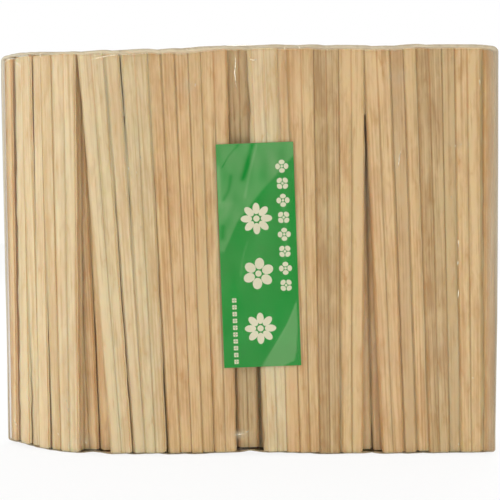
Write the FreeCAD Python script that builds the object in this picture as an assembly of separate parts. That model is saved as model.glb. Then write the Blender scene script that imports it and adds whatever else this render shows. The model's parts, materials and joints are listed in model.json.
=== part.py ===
import FreeCAD, Part

import math
import os
import random
from collections import namedtuple

# A sealed pack of split-type wooden chopsticks, standing on the ends of its sticks.
# Millimetres. X runs across the pack, Y from its front to its back and Z up along the sticks.
# The origin is at the middle of the pack's box, on the surface that it stands on.

# One pair of chopsticks: a slip of wood, grooved down its middle and sawn apart from its tips
PAIR_LENGTH = 210.0
HEAD_WIDTH = 12.8
TIP_WIDTH = 9.8
HEAD_THICKNESS = 6.3
TIP_THICKNESS = 5.5
CORNER_CHAMFER = 0.6
GROOVE_WIDTH = 1.4
GROOVE_DEPTH = 0.6
KERF_WIDTH = 0.15
JOINED_LENGTH = 34.0  # the head end, where the two sticks hold together

# The bundle. Seen from above it is straight on the right and bends back on the left.
SIDE_GAP = 0.25  # least room between neighbours in a row
LAYER_GAP = 0.35  # least room between one row and the next
BEND_RADIUS = 104.0  # of the bundle's front
BEND_DEGREES = 40.0
LOOSEST_ROLL = 1.5  # degrees that a flat pair may turn about its own length
LEAST_RISE = 0.02  # how far a pair's lower end stops short of the film, if none is given
HIGHEST_RISE = 1.2  # and how far it may
LEFT_END_RISE = 0.7  # the least for the pairs across the left end

# The clear film, shrunk round the bundle and lapped down the back
FILM_THICKNESS = 0.2
FILM_EDGE_RADIUS = 0.8  # inside, round the top and the bottom
FILM_CORNER_RADIUS = 3.0  # inside, seen from above, at the front
FILM_BACK_RADIUS = 7.0  # the same at the back, where the end pairs leave the corner empty
CORNER_ROOM = 0.1  # how much further the film stands off than its edge radius asks
LAP_WIDTH = 9.0
LAP_THICKNESS = 0.2
LAP_FROM_RIGHT = 96.0

# The paper label between the front of the bundle and the film
LABEL_WIDTH = 40.0
LABEL_HEIGHT = 116.0
LABEL_THICKNESS = 0.15
LABEL_LEAN = 1.9
LABEL_FROM_RIGHT = 123.0  # the label's middle, from the end of the bundle
LABEL_MIDDLE_HEIGHT = 104.0

# The pairs that show at the front, from left to right: how each lies, which way its head
# points, how many degrees its top leans to the left, and how far its lower end stops short of
# the film. A sunk pair lies flat where the one before it is missing.
FRONT_PAIRS = [
    ("edge", "down", 1.0, 1.3),
    ("edge", "up", 1.0, 0.8),
    ("edge", "down", 1.0, 0.5),
    ("edge", "up", 0.9, 0.1),
    ("flat", "up", 0.4, 0.1),
    ("flat", "up", 4.0, 0.3),
    ("edge", "up", 3.6, 0.2),
    ("flat", "up", 2.6, 0.5),
    ("edge", "up", 2.7, 0.1),
    ("edge", "up", 2.3, 0.5),
    ("edge", "up", 1.9, 0.2),
    ("edge", "up", 1.8, 0.6),
    ("flat", "up", 1.5, 0.9),
    ("sunk", "up", 1.2, 1.7),
    ("flat", "up", 1.8, 1.0),
    ("edge", "down", 1.4, 0.9),
    ("flat", "up", 1.2, 0.6),
    ("flat", "up", 0.5, 0.1),
    ("flat", "up", 0.1, 0.4),
    ("flat", "up", 2.4, 0.1),
    ("edge", "up", 2.1, 0.1),
    ("edge", "up", 2.2, 0.8),
    ("flat", "up", 1.6, 0.3),
    ("edge", "up", 1.2, 0.5),
    ("flat", "up", 0.8, 0.6),
]
BACK_FLAT_PAIRS = 14
BACK_EDGE_PAIRS = 10
MIDDLE_PAIRS = 20
END_PAIRS = 2  # side by side on edge across each end of the bundle, from its front
LOOSEST_FIT = 0.25  # degrees between neighbours' sides, where no lean is given

SEED = 9
UP = FreeCAD.Vector(0, 0, 1)
BACKWARD = FreeCAD.Vector(0, 1, 0)

# Depths are measured from the front of the bundle. Two rows of flat pairs are as deep as one
# pair on edge, so the front and the back of the bundle are each a double row.
DOUBLE_ROW = max(HEAD_WIDTH, 2 * HEAD_THICKNESS + LAYER_GAP) + LAYER_GAP
MIDDLE_ROW = HEAD_THICKNESS + LAYER_GAP
BUNDLE_DEPTH = 2 * DOUBLE_ROW + MIDDLE_ROW
BACK_RADIUS = BEND_RADIUS - BUNDLE_DEPTH
BEND_ANGLE = math.radians(BEND_DEGREES)
END_ANGLE = BEND_ANGLE + (HEAD_THICKNESS / 2 + SIDE_GAP) / BACK_RADIUS
FILM_CLEARANCE = FILM_EDGE_RADIUS + CORNER_ROOM

# along is how far right of the bend a pair stands, measured at the depth fit_depth
Standing = namedtuple("Standing", "on_edge head_up lean roll rise along depth fit_depth")


def section(width, thickness, height):
    """The outline across a pair, chamfered at its corners and grooved on both faces."""
    side, face = width / 2, thickness / 2
    quarter = [
        (GROOVE_WIDTH / 2, face),
        (side - CORNER_CHAMFER, face),
        (side, face - CORNER_CHAMFER),
    ]
    back_right = [(0, face - GROOVE_DEPTH)] + quarter
    front_right = [(x, -y) for x, y in reversed(quarter)]
    right = back_right + front_right
    left = [(-x, -y) for x, y in right]
    return [FreeCAD.Vector(x, y, height) for x, y in right + left]


def pair_solid():
    """A pair with its tips at the bottom, centred on the origin in plan and in height."""
    lower = section(TIP_WIDTH, TIP_THICKNESS, -PAIR_LENGTH / 2)
    upper = section(HEAD_WIDTH, HEAD_THICKNESS, PAIR_LENGTH / 2)
    outlines = [lower, upper]
    for i in range(len(lower)):
        j = (i + 1) % len(lower)
        outlines.append([lower[i], lower[j], upper[j], upper[i]])
    faces = [Part.Face(Part.makePolygon(points + points[:1])) for points in outlines]
    slip = Part.makeSolid(Part.makeShell(faces))
    kerf = Part.makeBox(
        KERF_WIDTH,
        2 * HEAD_THICKNESS,
        PAIR_LENGTH - JOINED_LENGTH,
        FreeCAD.Vector(-KERF_WIDTH / 2, -HEAD_THICKNESS, -PAIR_LENGTH / 2),
    )
    return slip.cut(kerf).removeSplitter()


def widths(on_edge, head_up):
    """How wide a pair is across its row, at its lower and at its upper end."""
    tip = TIP_THICKNESS if on_edge else TIP_WIDTH
    head = HEAD_THICKNESS if on_edge else HEAD_WIDTH
    return (tip, head) if head_up else (head, tip)


def push_in(rows_filled, rows, on_edge, head_up, lean):
    """Slides a pair along its rows until it meets what stands there, and returns its place.

    rows_filled holds, for each row, where its last pair ends at the bottom and at the top.
    """
    drift = math.tan(math.radians(lean)) * PAIR_LENGTH / 2
    ends = [
        (middle, width / 2 / math.cos(math.radians(lean)))
        for middle, width in zip((drift, -drift), widths(on_edge, head_up))
    ]
    along = SIDE_GAP + max(
        rows_filled[row][i] - middle + half
        for row in rows
        for i, (middle, half) in enumerate(ends)
    )
    for row in rows:
        rows_filled[row] = [along + middle + half for middle, half in ends]
    return along


def snug_pairs(chance, ways):
    """Gives each pair, of those that lie these ways, the head and the lean that fit it
    against the one before it and keep the row upright."""
    pairs = []
    side_lean = 0.0
    for way in ways:
        tip, head_width = widths(way == "edge", True)
        taper = math.degrees(math.atan((head_width - tip) / 2 / PAIR_LENGTH))
        head_up = side_lean > 0
        fit = side_lean + chance.uniform(-LOOSEST_FIT, LOOSEST_FIT)
        lean = fit - taper if head_up else fit + taper
        side_lean = lean - taper if head_up else lean + taper
        rise = LEAST_RISE + (HIGHEST_RISE - LEAST_RISE) * chance.random() ** 3
        pairs.append((way, "up" if head_up else "down", lean, rise))
    return pairs


def stand(chance, on_edge, head_up, lean, rise, along, depth, fit_depth):
    roll = 0.0 if on_edge else chance.uniform(-LOOSEST_ROLL, LOOSEST_ROLL)
    return Standing(on_edge, head_up, lean, roll, rise, along, depth, fit_depth)


def double_row(chance, pairs, first_depth, faces_front):
    """Stands pairs in a double row. One on edge fills both rows, a sunk one stands in the inner
    row alone, and a flat one in the outer row has another behind it. Returns the pairs that
    show, the ones they hide and where the rows end."""
    fit_depth = first_depth + DOUBLE_ROW
    start = -(BEND_RADIUS - fit_depth) * BEND_ANGLE
    rows_filled = {"outer": [start, start], "inner": [start, start]}
    near, far = first_depth + DOUBLE_ROW / 4, first_depth + 3 * DOUBLE_ROW / 4
    outer_depth, inner_depth = (near, far) if faces_front else (far, near)
    depths = {"edge": first_depth + DOUBLE_ROW / 2, "sunk": inner_depth, "flat": outer_depth}
    shown, hidden = [], []
    leans = [lean for _, _, lean, _ in pairs]
    neighbours = zip(leans[:1] + leans[:-1], leans[1:] + leans[-1:])
    for (way, head, lean, rise), (last_lean, next_lean) in zip(pairs, neighbours):
        on_edge, head_up = way == "edge", head == "up"
        rows = ("outer",) if way == "flat" else ("outer", "inner")
        along = push_in(rows_filled, rows, on_edge, head_up, lean)
        shown.append(stand(chance, on_edge, head_up, lean, rise, along, depths[way], fit_depth))
        if way == "flat":
            lean = (last_lean + next_lean) / 2
            along = push_in(rows_filled, ("inner",), False, head_up, lean)
            hidden.append(stand(chance, False, head_up, lean, rise, along, inner_depth, fit_depth))
    return shown, hidden, max(rows_filled["outer"] + rows_filled["inner"])


def back_pairs(chance):
    ways = ["flat"] * BACK_FLAT_PAIRS + ["edge"] * BACK_EDGE_PAIRS
    chance.shuffle(ways)
    return snug_pairs(chance, ways)


def middle_row(chance):
    fit_depth = DOUBLE_ROW + MIDDLE_ROW
    depth = DOUBLE_ROW + MIDDLE_ROW / 2
    start = -(BEND_RADIUS - fit_depth) * BEND_ANGLE
    rows_filled = {"middle": [start, start]}
    row = []
    for _, head, lean, rise in snug_pairs(chance, ["flat"] * MIDDLE_PAIRS):
        head_up = head == "up"
        along = push_in(rows_filled, ("middle",), False, head_up, lean)
        row.append(stand(chance, False, head_up, lean, rise, along, depth, fit_depth))
    return row, max(rows_filled["middle"])


def end_pairs(chance, along, least_rise=LEAST_RISE):
    """The pairs that stand on edge across one end of the bundle, from its front."""
    pitch = HEAD_WIDTH + LAYER_GAP
    first = pitch / 2
    return [
        stand(
            chance,
            on_edge=True,
            head_up=i % 2 == 0,
            lean=0.0,
            rise=least_rise + HIGHEST_RISE * chance.random(),
            along=along,
            depth=first + i * pitch,
            fit_depth=BUNDLE_DEPTH,
        )
        for i in range(END_PAIRS)
    ]


def plan_point(along, depth, fit_depth):
    """A place in plan, from the start of the bend at the front, and how far it is turned."""
    if along >= 0:
        return along, depth, 0.0
    turn = -along / (BEND_RADIUS - fit_depth)
    reach = BEND_RADIUS - depth
    return -reach * math.sin(turn), BEND_RADIUS - reach * math.cos(turn), turn


def placement_of(standing):
    """Turns and moves a pair from the origin to its place in the bundle."""
    lower, _ = widths(standing.on_edge, standing.head_up)
    lean = math.radians(abs(standing.lean))
    height = PAIR_LENGTH / 2 * math.cos(lean) + lower / 2 * math.sin(lean)
    x, y, turn = plan_point(standing.along, standing.depth, standing.fit_depth)
    upright = FreeCAD.Rotation(BACKWARD, 0 if standing.head_up else 180)
    faced = FreeCAD.Rotation(UP, (90 if standing.on_edge else 0) + standing.roll)
    leaned = FreeCAD.Rotation(BACKWARD, -standing.lean)
    turned = FreeCAD.Rotation(UP, -math.degrees(turn))
    spot = FreeCAD.Vector(x, y, FILM_THICKNESS + standing.rise + height)
    return FreeCAD.Placement(spot, turned * leaned * faced * upright)


def bend_point(radius, angle, sideways=0.0):
    """A point at this radius from the middle of the bend, or beside that radius."""
    return FreeCAD.Vector(
        -radius * math.sin(angle) - sideways * math.cos(angle),
        BEND_RADIUS - radius * math.cos(angle) + sideways * math.sin(angle),
        0,
    )


def arc(first, last, centre):
    """The short arc from first to last round centre."""
    outward = (first - centre) + (last - centre)
    outward.normalize()
    middle = centre + outward * (first - centre).Length
    return Part.Arc(first, middle, last).toShape()


def film_outline(skin, right_end):
    """The plan of the film's inside, or of what lies this much further out."""
    room = FILM_CLEARANCE + skin
    corner, back_corner = FILM_CORNER_RADIUS + skin, FILM_BACK_RADIUS + skin
    outer, inner = BEND_RADIUS + room, BACK_RADIUS - room
    beside = HEAD_THICKNESS / 2 + room
    front, back = -room, BUNDLE_DEPTH + room
    right = right_end + room
    bend_middle = FreeCAD.Vector(0, BEND_RADIUS, 0)

    front_turn = END_ANGLE + math.asin((beside - corner) / (outer - corner))
    front_reach = (outer - corner) * math.cos(front_turn - END_ANGLE)
    back_turn = END_ANGLE + math.asin((beside - back_corner) / (inner + back_corner))
    back_reach = (inner + back_corner) * math.cos(back_turn - END_ANGLE)

    front_bend_end = bend_point(outer, front_turn)
    left_front = bend_point(front_reach, END_ANGLE, beside)
    left_back = bend_point(back_reach, END_ANGLE, beside)
    back_bend_end = bend_point(inner, back_turn)
    points = {
        "front start": FreeCAD.Vector(0, front, 0),
        "front end": FreeCAD.Vector(right - corner, front, 0),
        "right front": FreeCAD.Vector(right, front + corner, 0),
        "right back": FreeCAD.Vector(right, back - back_corner, 0),
        "back end": FreeCAD.Vector(right - back_corner, back, 0),
        "back start": FreeCAD.Vector(0, back, 0),
    }
    edges = [
        Part.makeLine(points["front start"], points["front end"]),
        arc(
            points["front end"],
            points["right front"],
            FreeCAD.Vector(right - corner, front + corner, 0),
        ),
        Part.makeLine(points["right front"], points["right back"]),
        arc(
            points["right back"],
            points["back end"],
            FreeCAD.Vector(right - back_corner, back - back_corner, 0),
        ),
        Part.makeLine(points["back end"], points["back start"]),
        arc(points["back start"], back_bend_end, bend_middle),
        arc(back_bend_end, left_back, bend_point(inner + back_corner, back_turn)),
        Part.makeLine(left_back, left_front),
        arc(left_front, front_bend_end, bend_point(outer - corner, front_turn)),
        arc(front_bend_end, points["front start"], bend_middle),
    ]
    return Part.Wire(edges)


def film_block(skin, right_end, lowest, highest):
    """A solid with the film's plan, rounded along its top and its bottom."""
    plan = Part.Face(film_outline(skin, right_end))
    plan.translate(UP * lowest)
    block = plan.extrude(UP * (highest - lowest))
    rims = [
        rim
        for face in block.Faces
        if abs(face.normalAt(0, 0).z) > 0.9
        for rim in face.Edges
    ]
    return block.makeFillet(FILM_EDGE_RADIUS + skin, rims)


def film_solid(right_end, bundle_top):
    """The closed film, with the lap where its two edges are sealed down the back."""
    inside_top = bundle_top + FILM_CLEARANCE
    inside = film_block(0, right_end, FILM_THICKNESS, inside_top)
    outside = film_block(FILM_THICKNESS, right_end, 0, inside_top + FILM_THICKNESS)
    rounding = FILM_EDGE_RADIUS + FILM_THICKNESS
    lap = Part.makeBox(
        LAP_WIDTH,
        LAP_THICKNESS + FILM_THICKNESS / 2,
        inside_top + FILM_THICKNESS - 2 * rounding,
        FreeCAD.Vector(
            right_end - LAP_FROM_RIGHT - LAP_WIDTH / 2,
            BUNDLE_DEPTH + FILM_CLEARANCE + FILM_THICKNESS / 2,
            rounding,
        ),
    )
    return outside.cut(inside).fuse(lap).removeSplitter()


def label_solid(right_end):
    """The label, flat against the inside of the film and leaning as the sticks do."""
    label = Part.makeBox(
        LABEL_WIDTH,
        LABEL_THICKNESS,
        LABEL_HEIGHT,
        FreeCAD.Vector(-LABEL_WIDTH / 2, 0, -LABEL_HEIGHT / 2),
    )
    label.rotate(FreeCAD.Vector(0, 0, 0), BACKWARD, -LABEL_LEAN)
    label.translate(
        FreeCAD.Vector(
            right_end - LABEL_FROM_RIGHT,
            -FILM_CLEARANCE,
            FILM_THICKNESS + LABEL_MIDDLE_HEIGHT,
        )
    )
    return label


def tight_box(shape):
    return shape.optimalBoundingBox(False, False)


def main():
    chance = random.Random(SEED)
    front, behind_front, front_end = double_row(chance, FRONT_PAIRS, 0.0, True)
    middle, middle_end = middle_row(chance)
    back, behind_back, back_end = double_row(
        chance, back_pairs(chance), DOUBLE_ROW + MIDDLE_ROW, False
    )
    left = end_pairs(chance, -BACK_RADIUS * END_ANGLE, LEFT_END_RISE)
    rows_end = max(front_end, middle_end, back_end)
    right = end_pairs(chance, rows_end + SIDE_GAP + HEAD_THICKNESS / 2)
    right_end = rows_end + SIDE_GAP + HEAD_THICKNESS

    nodes = {f"front_pair_{i:02d}": [one] for i, one in enumerate(front, 1)}
    nodes.update({f"back_pair_{i:02d}": [one] for i, one in enumerate(back, 1)})
    nodes["pairs_behind_front"] = behind_front
    nodes["pairs_in_middle"] = middle
    nodes["pairs_behind_back"] = behind_back
    nodes["pairs_at_left_end"] = left
    nodes["pairs_at_right_end"] = right

    pair = pair_solid()
    shapes = {}
    for name, standings in nodes.items():
        solids = []
        for standing in standings:
            solid = pair.copy()
            solid.Placement = placement_of(standing)
            solids.append(solid)
        shapes[name] = solids[0] if len(solids) == 1 else Part.makeCompound(solids)
    bundle_top = max(tight_box(shape).ZMax for shape in shapes.values())
    shapes["film"] = film_solid(right_end, bundle_top)
    shapes["label"] = label_solid(right_end)

    box = tight_box(shapes["film"])
    to_origin = FreeCAD.Vector(-box.Center.x, -box.Center.y, 0)
    os.makedirs("parts", exist_ok=True)
    for name, shape in shapes.items():
        shape.translate(to_origin)
        shape.exportStep(f"parts/{name}.step")
    print(f"{box.XLength:.1f} x {box.YLength:.1f} x {box.ZLength:.1f} mm,", end=" ")
    print(f"{len(shapes)} nodes, {sum(len(s.Solids) for s in shapes.values())} solids")
    print(f"row ends: front {front_end:.1f}, middle {middle_end:.1f}, back {back_end:.1f}")


main()
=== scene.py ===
"""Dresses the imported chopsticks: split wooden pairs in a wrinkled clear film, with a paper label.

All lengths are in metres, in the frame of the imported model. The pack's front faces -Y.
"""

import json
import math
import random

import bmesh
import bpy
import numpy as np
from mathutils import Matrix, Vector, noise
from mathutils.bvhtree import BVHTree


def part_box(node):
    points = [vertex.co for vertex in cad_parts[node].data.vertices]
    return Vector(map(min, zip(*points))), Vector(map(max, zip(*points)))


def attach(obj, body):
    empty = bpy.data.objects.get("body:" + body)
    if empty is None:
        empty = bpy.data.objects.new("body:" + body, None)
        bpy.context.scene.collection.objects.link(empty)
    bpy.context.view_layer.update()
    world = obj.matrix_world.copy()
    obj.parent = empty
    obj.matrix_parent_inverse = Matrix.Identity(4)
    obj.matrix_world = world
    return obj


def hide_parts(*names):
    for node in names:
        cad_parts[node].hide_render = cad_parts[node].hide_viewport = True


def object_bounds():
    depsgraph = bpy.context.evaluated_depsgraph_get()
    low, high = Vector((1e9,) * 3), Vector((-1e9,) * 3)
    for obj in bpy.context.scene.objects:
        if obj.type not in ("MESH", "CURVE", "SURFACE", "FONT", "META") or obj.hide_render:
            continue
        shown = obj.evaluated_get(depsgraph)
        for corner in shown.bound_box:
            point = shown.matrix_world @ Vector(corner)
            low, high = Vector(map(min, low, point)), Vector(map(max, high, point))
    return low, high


SEED = 11

# The camera
CAMERA_AZIMUTH = math.radians(0.28)
CAMERA_ELEVATION = math.radians(1.54)
CAMERA_ROLL = math.radians(-0.27)
CAMERA_DISTANCE = 0.4941
CAMERA_LENS = 64.96
CAMERA_TARGET = Vector((0.00325, 0.0, 0.1062))

# A pair of chopsticks
CORNER_CHAMFER = 0.0006
CHAMFER_SWELL = 0.00012
# Torn fibres along a pair's edges. They narrow the gaps and end a little inside the neighbours.
FRINGE = 0.0011
FRINGE_THICKNESS = 0.0009
# How far below its edge a pair's torn fibres start, as a share of their thickness, by its wood
FRINGE_SINK = {"wood_pale": 0.12, "wood_straw": 0.4, "wood_tan": 0.4}
# How many times longer the torn fibres are beside a wide gap: on a pair's right and on its left
OPEN_EDGES = {
    "front_pair_01": (1.0, 2.0),
    "front_pair_15": (1.0, 2.4),
    "front_pair_25": (2.2, 1.0),
}
GROOVE_HALF = 0.0007
GROOVE_DEPTH = 0.00045
KERF_HALF = 0.00002
END_SOFTENING = 0.00022
END_STEP = 0.0005
STATIONS = 26
BOW = 0.00008
EDGE_WOBBLE = 0.00003
SQUARE_ON_EDGE = 0.001  # a pair that leans less than this to the back is turned by its side

# Where a slip of wood was cut from its log
RING_SPACING = 0.0013
NEAREST_TO_PITH = 0.03
FURTHEST_FROM_PITH = 0.14
STEEPEST_GRAIN = 0.012

# The film, which starts from the outline of the CAD film
FILM_BEND = math.radians(40.0)
FILM_STEP = 0.0014
FILM_LIFT = 0.0002
FILM_RIM = 0.0018
FILM_END_RIM = 0.0032
FILM_RIM_STEPS = 5
FILM_TENSION = 0.03  # radius of the ball that could roll in the hollows of its top and bottom
FILM_UNDER_STICKS = 0.0003
# The room between the tops of the sticks and the film: (x, distance)
FILM_OVER_STICKS = [
    (-0.130, 0.0021),
    (-0.105, 0.0017),
    (-0.094, 0.0007),
    (-0.075, 0.0002),
    (-0.045, 0.0003),
    (-0.023, 0.0012),
    (0.010, 0.0016),
    (0.045, 0.0022),
    (0.075, 0.0016),
    (0.098, 0.0021),
    (0.120, 0.0017),
    (0.131, 0.0004),
]
# How far down the front the film is milky from its top: (x, distance)
MILKY_BAND = [
    (-0.130, 0.0024),
    (-0.090, 0.0022),
    (-0.080, 0.0026),
    (-0.055, 0.0030),
    (-0.026, 0.0038),
    (-0.015, 0.0032),
    (-0.004, 0.0027),
    (0.030, 0.0027),
    (0.050, 0.0031),
    (0.130, 0.0029),
]
BAND_STEPS = 12
# How far each end swells from the outline or is drawn in: (height, distance)
LEFT_SWELL = [(0.0, -0.0008), (0.2, 0.0011)]
RIGHT_SWELL = [(0.0, -0.0013), (0.02, -0.0008), (0.07, 0.0002), (0.14, 0.0004)]
RIGHT_STRIP = 0.0068  # how wide the milky strip is along the right edge of the front
LAP_COLUMNS = 18

# Hazy places on the front: (x, height, half width, half height, strength)
SMUDGES = [
    (-0.0290, 0.1915, 0.0040, 0.0030, 0.12),
    (0.0800, 0.1960, 0.0060, 0.0030, 0.12),
    (0.0790, 0.1560, 0.0016, 0.0080, 0.10),
    (0.1100, 0.1610, 0.0060, 0.0018, 0.10),
    (-0.0020, 0.0110, 0.0050, 0.0020, 0.22),
    (-0.0850, 0.0070, 0.0060, 0.0030, 0.16),
    (-0.0950, 0.0260, 0.0030, 0.0060, 0.12),
    (-0.0560, 0.1520, 0.0030, 0.0100, 0.10),
    (0.0500, 0.0350, 0.0040, 0.0080, 0.08),
]

# Sharp creases that catch the light, each on one side of the pack, as (across, height) points.
# Their whitish colour is partly the milk of crumpled film and partly painted highlight for glints.
FRONT_CREASES = [
    [(-0.0040, 0.2080), (-0.0036, 0.2030), (-0.0041, 0.1985), (-0.0036, 0.1935), (-0.0030, 0.1900)],
    [(0.0030, 0.2062), (0.0042, 0.2050), (0.0056, 0.2046), (0.0075, 0.2050)],
    [(-0.0532, 0.1560), (-0.0528, 0.1540)],
    [(-0.0594, 0.1502), (-0.0590, 0.1486)],
    [(-0.0552, 0.1478), (-0.0548, 0.1466)],
    [(0.0816, 0.1582), (0.0806, 0.1540), (0.0800, 0.1490)],
    [(0.1092, 0.1598), (0.1098, 0.1604)],
    [(0.1120, 0.1606), (0.1128, 0.1612)],
    [(0.1110, 0.1120), (0.1113, 0.1080)],
    [(0.1110, 0.1010), (0.1108, 0.0985)],
    [(0.1112, 0.0860), (0.1110, 0.0815)],
    [(0.1182, 0.0402), (0.1194, 0.0398)],
    [(-0.0940, 0.0288), (-0.0936, 0.0270)],
    [(-0.0930, 0.0236), (-0.0926, 0.0218)],
    [(-0.0990, 0.0102), (-0.0984, 0.0090)],
    [(-0.0836, 0.0066), (-0.0826, 0.0058)],
    [(-0.0054, 0.0104), (-0.0030, 0.0110), (0.0002, 0.0112)],
    [(0.0006, 0.0118), (0.0024, 0.0128)],
]
CREASE_HALF = 0.00022
CREASE_HEIGHT = 0.00018
CREASE_STEP = 0.0008
MORE_CREASES = 46  # placed by chance on all sides

# Where the film stands off the label it looks cloudy. This is painted into the label's colour,
# partly as the film's haze and partly as painted sheen of the film. All places on the label are
# measured from its left and its top edge. The film clings below and right of the first line.
CLINGS_BELOW = [(0.0022, 0.0566), (0.0094, 0.0416), (0.0222, 0.0263), (0.0395, 0.0084)]
CLOUD_SHARE = 0.14
# Streaks that are cloudier, or clearer if negative: (half width, change, line)
LABEL_STREAKS = [
    (0.0004, -0.16, [(0.0115, 0.0008), (0.0065, 0.0060), (0.0029, 0.0120)]),
    (0.0013, -0.20, [(0.0190, 0.0000), (0.0161, 0.0106), (0.0133, 0.0181)]),
    (0.0010, -0.15, [(0.0072, 0.0166), (0.0059, 0.0239), (0.0032, 0.0284)]),
    (0.0006, 0.16, [(0.0210, 0.0010), (0.0170, 0.0147), (0.0140, 0.0279)]),
    (0.0009, 0.16, [(0.0009, 0.0120), (0.0010, 0.0300)]),
    (0.0022, 0.12, [(0.0020, 0.0320), (0.0060, 0.0310), (0.0030, 0.0370)]),
    (0.0016, -0.18, [(0.0020, 0.0430), (0.0018, 0.0480)]),
    (0.0030, 0.05, [(0.0300, 0.0020), (0.0270, 0.0140)]),
    (0.0005, 0.12, [(0.0389, 0.0826), (0.0339, 0.0937), (0.0284, 0.1025), (0.0198, 0.1152)]),
    (0.0004, 0.10, [(0.0150, 0.0500), (0.0120, 0.0580), (0.0105, 0.0680)]),
    (0.0010, 0.06, [(0.0340, 0.0330), (0.0350, 0.0500), (0.0330, 0.0620)]),
]
# The cloudy wedge at the foot of the label: its left and its right side
WEDGE_LEFT = [(0.0389, 0.0826), (0.0339, 0.0937), (0.0284, 0.1025), (0.0198, 0.1160)]
WEDGE_RIGHT = [(0.0389, 0.0826), (0.0390, 0.0953), (0.0380, 0.1080), (0.0366, 0.1134), (0.031, 0.116)]
WEDGE_SHARE = 0.18
LABEL_GRID = (50, 145)

WORLD_STRENGTH = 0.83
FLOOR_REACH = 6.0
FLOOR_DROP = 0.0002

WOOD_SLOTS = ("wood_pale", "wood_straw", "wood_tan")

# How much deeper and rosier a stick is than its slot's wood
TONES = {
    "cream": (-1.4, -0.8),
    "straw": (0.0, -0.4),
    "rose": (-0.2, 1.3),
    "amber": (1.6, 0.6),
    # Painted shade: deeper and duller wood, used for the right end of the pack
    "shaded_end": (2.6, -1.2),
}
# The casts of the left and the right stick of some nodes' pairs. The others come by chance.
CHOSEN_TONES = {
    "front_pair_01": ("straw", "straw"),
    "front_pair_05": ("rose", "straw"),
    "front_pair_06": ("cream", "straw"),
    "front_pair_07": ("rose", "rose"),
    "front_pair_08": ("straw", "amber"),
    "front_pair_09": ("straw", "straw"),
    "front_pair_13": ("straw", "rose"),
    # Painted light: the sunk pair 14 is made paler to lift the shade of its recess
    "front_pair_14": ("cream", "cream"),
    "front_pair_15": ("cream", "straw"),
    "front_pair_17": ("rose", "straw"),
    "front_pair_18": ("amber", "straw"),
    "front_pair_19": ("straw", "cream"),
    "front_pair_20": ("rose", "rose"),
    "front_pair_23": ("amber", "straw"),
    "front_pair_25": ("straw", "cream"),
    "pairs_behind_front": ("rose", "rose"),
    # Painted light: the left end's sticks are made paler to lift the shade on them
    "pairs_at_left_end": ("cream", "cream"),
    # Painted shade: the right end's sticks are made deeper and duller
    "pairs_at_right_end": ("shaded_end", "shaded_end"),
}


def srgb(red, green, blue):
    """The linear colour of an sRGB one given from 0 to 255."""
    parts = [c / 255 for c in (red, green, blue)]
    linear = [c / 12.92 if c <= 0.04045 else ((c + 0.055) / 1.055) ** 2.4 for c in parts]
    return (*linear, 1.0)


# ---- node helpers


class Nodes:
    """A material's node tree, built a node at a time."""

    def __init__(self, name):
        self.material = bpy.data.materials.new(name)
        self.material.use_nodes = True
        self.tree = self.material.node_tree
        self.tree.nodes.clear()

    def node(self, kind, **values):
        made = self.tree.nodes.new(kind)
        for key, value in values.items():
            setattr(made, key, value)
        return made

    def put(self, value, socket):
        if isinstance(value, bpy.types.NodeSocket):
            self.tree.links.new(value, socket)
        elif value is not None:
            socket.default_value = value

    def attribute(self, name, output="Fac"):
        return self.node("ShaderNodeAttribute", attribute_name=name).outputs[output]

    def math(self, operation, a, b=None, c=None, clamp=False):
        made = self.node("ShaderNodeMath", operation=operation, use_clamp=clamp)
        for value, socket in zip((a, b, c), made.inputs):
            self.put(value, socket)
        return made.outputs[0]

    def vector(self, operation, a, b=None):
        made = self.node("ShaderNodeVectorMath", operation=operation)
        self.put(a, made.inputs[0])
        self.put(b, made.inputs[1])
        return made.outputs["Value" if operation == "LENGTH" else "Vector"]

    def mix(self, factor, a, b):
        made = self.node("ShaderNodeMix", data_type="RGBA")
        self.put(factor, made.inputs[0])
        self.put(a, made.inputs[6])
        self.put(b, made.inputs[7])
        return made.outputs[2]

    def blend(self, factor, first, second):
        made = self.node("ShaderNodeMixShader")
        for value, socket in zip((factor, first, second), made.inputs):
            self.put(value, socket)
        return made.outputs[0]

    def span(self, value, low, high, to_low=0.0, to_high=1.0):
        made = self.node("ShaderNodeMapRange", interpolation_type="SMOOTHSTEP")
        for given, socket in zip((value, low, high, to_low, to_high), made.inputs):
            self.put(given, socket)
        return made.outputs[0]

    def noise(self, place, scale, detail=2.0, roughness=0.5, distortion=0.0):
        if isinstance(scale, tuple):
            place, scale = self.vector("MULTIPLY", place, scale), 1.0
        made = self.node("ShaderNodeTexNoise")
        self.put(place, made.inputs["Vector"])
        self.put(scale, made.inputs["Scale"])
        self.put(detail, made.inputs["Detail"])
        self.put(roughness, made.inputs["Roughness"])
        self.put(distortion, made.inputs["Distortion"])
        return made.outputs["Fac"]

    def bump(self, height, strength, distance):
        made = self.node("ShaderNodeBump")
        self.put(height, made.inputs["Height"])
        made.inputs["Strength"].default_value = strength
        made.inputs["Distance"].default_value = distance
        return made.outputs["Normal"]

    def finish(self, shader):
        output = self.node("ShaderNodeOutputMaterial")
        self.tree.links.new(shader, output.inputs["Surface"])
        return self.material


# ---- meshes


def add_to_scene(thing):
    bpy.context.scene.collection.objects.link(thing)


def new_piece(name, verts, faces, material, smooth_angle=None):
    """A mesh piece that rides on the pack and takes the material it is given."""
    mesh = bpy.data.meshes.new(name)
    mesh.from_pydata([tuple(v) for v in verts], [], faces)
    work = bmesh.new()
    work.from_mesh(mesh)
    bmesh.ops.recalc_face_normals(work, faces=work.faces)
    work.to_mesh(mesh)
    work.free()
    if smooth_angle is not None:
        for polygon in mesh.polygons:
            polygon.use_smooth = True
        mesh.set_sharp_from_angle(angle=smooth_angle)
    mesh.materials.append(material)
    piece = bpy.data.objects.new(name, mesh)
    add_to_scene(piece)
    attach(piece, "root")
    return piece


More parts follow.
